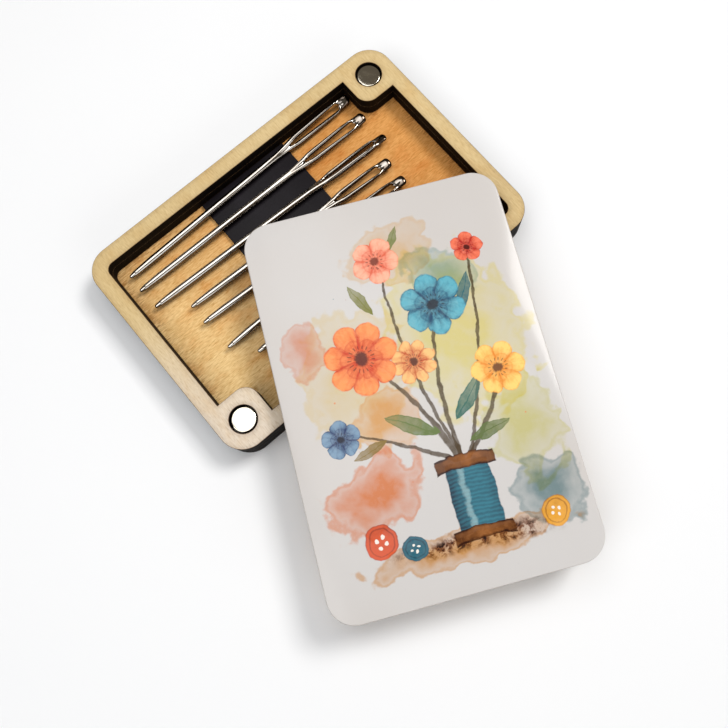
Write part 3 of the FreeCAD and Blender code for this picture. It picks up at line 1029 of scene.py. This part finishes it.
half = tableLook["size"] / 2
tableMesh = bpy.data.meshes.new("table")
tableMesh.from_pydata([(-half, -half, -2e-5), (half, -half, -2e-5), (half, half, -2e-5), (-half, half, -2e-5)], [], [(0, 1, 2, 3)])
table = bpy.data.objects.new("table", tableMesh)
bpy.context.scene.collection.objects.link(table)
tableMesh.materials.append(tableFinish())

lampLook = {
    "key": {"at": (0.43, -0.04, 0.66), "aim": (0, -0.02, 0), "size": (0.24, 0.24), "power": 3.5, "colour": (1.0, 0.99, 0.975)},
    "overhead": {"at": (0.005, 0.080, 0.40), "aim": (0.005, 0.080, 0), "size": (0.24, 0.32), "power": 0.58,
                 "colour": (1.0, 1.0, 1.0)},
    "left": {"at": (-0.32, -0.04, 0.44), "aim": (0, -0.02, 0), "size": (0.30, 0.30), "power": 0.8, "colour": (0.96, 0.98, 1.0)},
    "front": {"at": (0.0, -0.56, 0.26), "aim": (0, -0.02, 0), "size": (0.60, 0.34), "power": 0.8, "colour": (0.97, 0.98, 1.0)},
}
for name, lamp in lampLook.items():
    light = bpy.data.lights.new(name, "AREA")
    light.shape = "RECTANGLE"
    light.size, light.size_y = lamp["size"]
    light.energy = lamp["power"]
    light.color = lamp["colour"]
    holder = bpy.data.objects.new(name, light)
    holder.location = lamp["at"]
    holder.rotation_euler = (Vector(lamp["aim"]) - Vector(lamp["at"])).to_track_quat("-Z", "Y").to_euler()
    bpy.context.scene.collection.objects.link(holder)

roomLook = {"air": (1.0, 1.0, 1.0, 1.0), "airLevel": 0.125, "mirrored": (1.0, 0.88, 0.72, 1.0), "mirroredLevel": 0.13}
world = bpy.data.worlds.new("studio")
world.use_nodes = True
room = world.node_tree
air, rays = room.nodes["Background"], room.nodes.new("ShaderNodeLightPath")
mirrored, either = room.nodes.new("ShaderNodeBackground"), room.nodes.new("ShaderNodeMixShader")
air.inputs["Color"].default_value, air.inputs["Strength"].default_value = roomLook["air"], roomLook["airLevel"]
mirrored.inputs["Color"].default_value = roomLook["mirrored"]
mirrored.inputs["Strength"].default_value = roomLook["mirroredLevel"]
room.links.new(rays.outputs["Is Glossy Ray"], either.inputs[0])
room.links.new(air.outputs[0], either.inputs[1])
room.links.new(mirrored.outputs[0], either.inputs[2])
room.links.new(either.outputs[0], room.nodes["World Output"].inputs["Surface"])
bpy.context.scene.world = world
bpy.context.scene.view_settings.view_transform = "Standard"

cameraLook = {
    "at": (-23.80, -62.70, 186.98),
    "tilt": (12.8745, 1.1854, -40.7109),
    "lens": 39.285,
    "shift": (-0.0357, -0.0467),
}
lens = bpy.data.cameras.new("camera")
lens.sensor_width = 36
lens.lens = cameraLook["lens"]
lens.shift_x, lens.shift_y = cameraLook["shift"]
lens.clip_start = 0.005
lens.clip_end = 20
camera = bpy.data.objects.new("camera", lens)
camera.location = [part * mm for part in cameraLook["at"]]
camera.rotation_euler = Euler([math.radians(part) for part in cameraLook["tilt"]], "XYZ")
bpy.context.scene.collection.objects.link(camera)
bpy.context.scene.camera = camera
print("lights and camera set")
